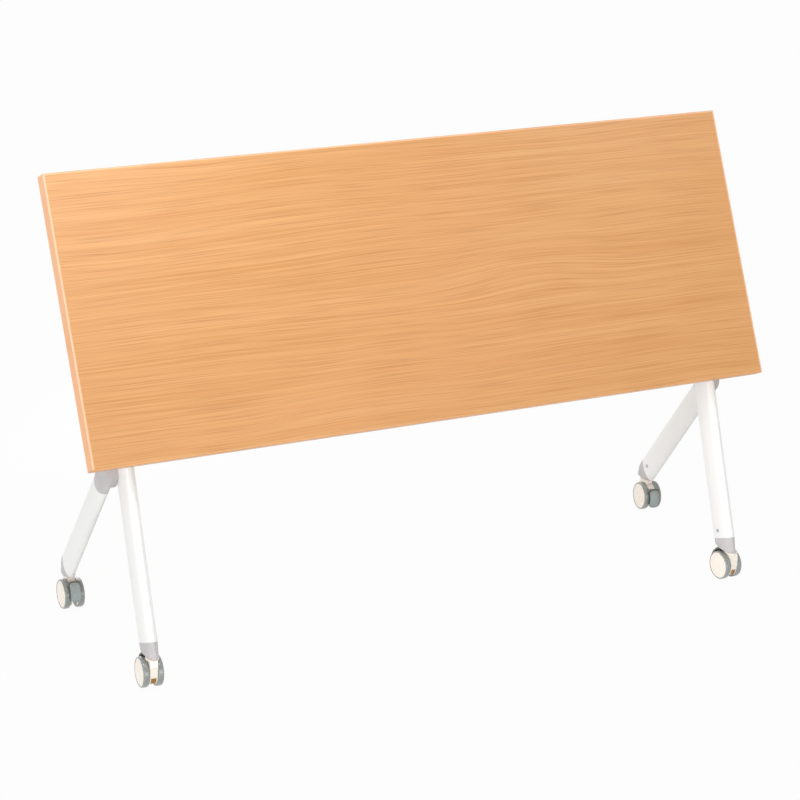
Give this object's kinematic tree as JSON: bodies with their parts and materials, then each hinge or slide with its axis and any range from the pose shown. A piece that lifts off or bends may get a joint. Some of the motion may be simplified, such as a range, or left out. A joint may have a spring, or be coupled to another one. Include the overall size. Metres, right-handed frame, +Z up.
{
  "type": "flip-top training table",
  "caption": "Flip-top nesting table with a wood-grain worktop tilted up for storage on white tube A-legs, with hinge brackets, release bar, cross beam and braked swivel casters.",
  "frame": {"origin": "on the floor under the middle of the whole table, worktop folded", "axes": "+X along the worktop to the user's right, +Y to the rear, +Z up"},
  "size_m": [1.2, 0.3734, 0.7238],
  "materials": {
    "wood_top": "satin beech-grain laminate",
    "wood_edge": "satin beech-grain edge band",
    "white_metal": "satin powder coat",
    "grey_plastic": "matt moulded",
    "ivory_plastic": "smooth moulded",
    "grey_tyre": "smooth soft tread",
    "pedal_plastic": "matt moulded",
    "dark_plastic": "matt moulded",
    "steel": "zinc plated",
    "rubber": "matt"
  },
  "bodies": {
    "frame": {"left_front_leg": "white_metal", "right_front_leg": "white_metal", "left_rear_leg": "white_metal", "right_rear_leg": "white_metal", "left_joint_cover": "grey_plastic", "right_joint_cover": "grey_plastic", "leg_joint_bolts": "steel", "cross_beam": "white_metal", "left_leg_head": "grey_plastic", "right_leg_head": "grey_plastic", "hinge_pins": "steel", "left_front_foot": "grey_plastic", "right_front_foot": "grey_plastic", "left_rear_foot": "grey_plastic", "right_rear_foot": "grey_plastic", "foot_screws": "steel", "caster_stems": "steel", "fold_bumpers": "rubber"},
    "worktop": {"tabletop": "wood_top", "edge_band_front": "wood_edge", "edge_band_rear": "wood_edge", "edge_band_left": "wood_edge", "edge_band_right": "wood_edge", "left_hinge_bracket": "white_metal", "right_hinge_bracket": "white_metal", "bracket_screws": "steel"},
    "release": {"release_rod": "steel", "release_handle": "dark_plastic", "left_latch": "steel", "right_latch": "steel"},
    "front_left_caster": {"front_left_hood": "ivory_plastic", "front_left_axle": "steel"},
    "front_left_brake": {"front_left_pedal": "pedal_plastic"},
    "front_left_left_wheel": {"front_left_left_tyre": "grey_tyre", "front_left_left_hub": "ivory_plastic"},
    "front_left_right_wheel": {"front_left_right_tyre": "grey_tyre", "front_left_right_hub": "ivory_plastic"},
    "front_right_caster": {"front_right_hood": "ivory_plastic", "front_right_axle": "steel"},
    "front_right_brake": {"front_right_pedal": "pedal_plastic"},
    "front_right_left_wheel": {"front_right_left_tyre": "grey_tyre", "front_right_left_hub": "ivory_plastic"},
    "front_right_right_wheel": {"front_right_right_tyre": "grey_tyre", "front_right_right_hub": "ivory_plastic"},
    "rear_left_caster": {"rear_left_hood": "ivory_plastic", "rear_left_axle": "steel"},
    "rear_left_brake": {"rear_left_pedal": "pedal_plastic"},
    "rear_left_left_wheel": {"rear_left_left_tyre": "grey_tyre", "rear_left_left_hub": "ivory_plastic"},
    "rear_left_right_wheel": {"rear_left_right_tyre": "grey_tyre", "rear_left_right_hub": "ivory_plastic"},
    "rear_right_caster": {"rear_right_hood": "ivory_plastic", "rear_right_axle": "steel"},
    "rear_right_brake": {"rear_right_pedal": "pedal_plastic"},
    "rear_right_left_wheel": {"rear_right_left_tyre": "grey_tyre", "rear_right_left_hub": "ivory_plastic"},
    "rear_right_right_wheel": {"rear_right_right_tyre": "grey_tyre", "rear_right_right_hub": "ivory_plastic"}
  },
  "joints": [
    {"name": "worktop_tilt", "type": "hinge", "parent": "frame", "child": "worktop", "pos_m": [0, 0.15548, 0.641], "axis": [-1, 0, 0], "range_deg": [0, 59]},
    {"name": "release_turn", "type": "hinge", "parent": "worktop", "child": "release", "pos_m": [0, 0.16099, 0.67735], "axis": [1, 0, 0], "range_deg": [0, 12], "stiffness_Nm_per_rad": 0.3, "springref_deg": -11.46},
    {"name": "front_left_swivel", "type": "hinge", "parent": "frame", "child": "front_left_caster", "pos_m": [-0.527, -0.17147, 0.0526], "axis": [0, 0, 1], "continuous": true},
    {"name": "front_left_brake_pedal", "type": "hinge", "parent": "front_left_caster", "child": "front_left_brake", "pos_m": [-0.52613, -0.16151, 0.024], "axis": [-0.9962, 0.0872, 0], "range_deg": [0, 20]},
    {"name": "front_left_left_roll", "type": "hinge", "parent": "front_left_caster", "child": "front_left_left_wheel", "pos_m": [-0.52613, -0.16151, 0.024], "axis": [0.9962, -0.0872, 0], "continuous": true},
    {"name": "front_left_right_roll", "type": "hinge", "parent": "front_left_caster", "child": "front_left_right_wheel", "pos_m": [-0.52613, -0.16151, 0.024], "axis": [0.9962, -0.0872, 0], "continuous": true},
    {"name": "front_right_swivel", "type": "hinge", "parent": "frame", "child": "front_right_caster", "pos_m": [0.527, -0.17147, 0.0526], "axis": [0, 0, 1], "continuous": true},
    {"name": "front_right_brake_pedal", "type": "hinge", "parent": "front_right_caster", "child": "front_right_brake", "pos_m": [0.52648, -0.16148, 0.024], "axis": [-0.9986, -0.0523, 0], "range_deg": [0, 20]},
    {"name": "front_right_left_roll", "type": "hinge", "parent": "front_right_caster", "child": "front_right_left_wheel", "pos_m": [0.52648, -0.16148, 0.024], "axis": [0.9986, 0.0523, 0], "continuous": true},
    {"name": "front_right_right_roll", "type": "hinge", "parent": "front_right_caster", "child": "front_right_right_wheel", "pos_m": [0.52648, -0.16148, 0.024], "axis": [0.9986, 0.0523, 0], "continuous": true},
    {"name": "rear_left_swivel", "type": "hinge", "parent": "frame", "child": "rear_left_caster", "pos_m": [-0.545, 0.12197, 0.0526], "axis": [0, 0, 1], "continuous": true},
    {"name": "rear_left_brake_pedal", "type": "hinge", "parent": "rear_left_caster", "child": "rear_left_brake", "pos_m": [-0.54552, 0.11199, 0.024], "axis": [0.9986, -0.0523, 0], "range_deg": [0, 20]},
    {"name": "rear_left_left_roll", "type": "hinge", "parent": "rear_left_caster", "child": "rear_left_left_wheel", "pos_m": [-0.54552, 0.11199, 0.024], "axis": [-0.9986, 0.0523, 0], "continuous": true},
    {"name": "rear_left_right_roll", "type": "hinge", "parent": "rear_left_caster", "child": "rear_left_right_wheel", "pos_m": [-0.54552, 0.11199, 0.024], "axis": [-0.9986, 0.0523, 0], "continuous": true},
    {"name": "rear_right_swivel", "type": "hinge", "parent": "frame", "child": "rear_right_caster", "pos_m": [0.545, 0.12197, 0.0526], "axis": [0, 0, 1], "continuous": true},
    {"name": "rear_right_brake_pedal", "type": "hinge", "parent": "rear_right_caster", "child": "rear_right_brake", "pos_m": [0.54395, 0.11203, 0.024], "axis": [0.9945, -0.1045, 0], "range_deg": [-20, 0]},
    {"name": "rear_right_left_roll", "type": "hinge", "parent": "rear_right_caster", "child": "rear_right_left_wheel", "pos_m": [0.54395, 0.11203, 0.024], "axis": [-0.9945, 0.1045, 0], "continuous": true},
    {"name": "rear_right_right_roll", "type": "hinge", "parent": "rear_right_caster", "child": "rear_right_right_wheel", "pos_m": [0.54395, 0.11203, 0.024], "axis": [-0.9945, 0.1045, 0], "continuous": true}
  ]
}
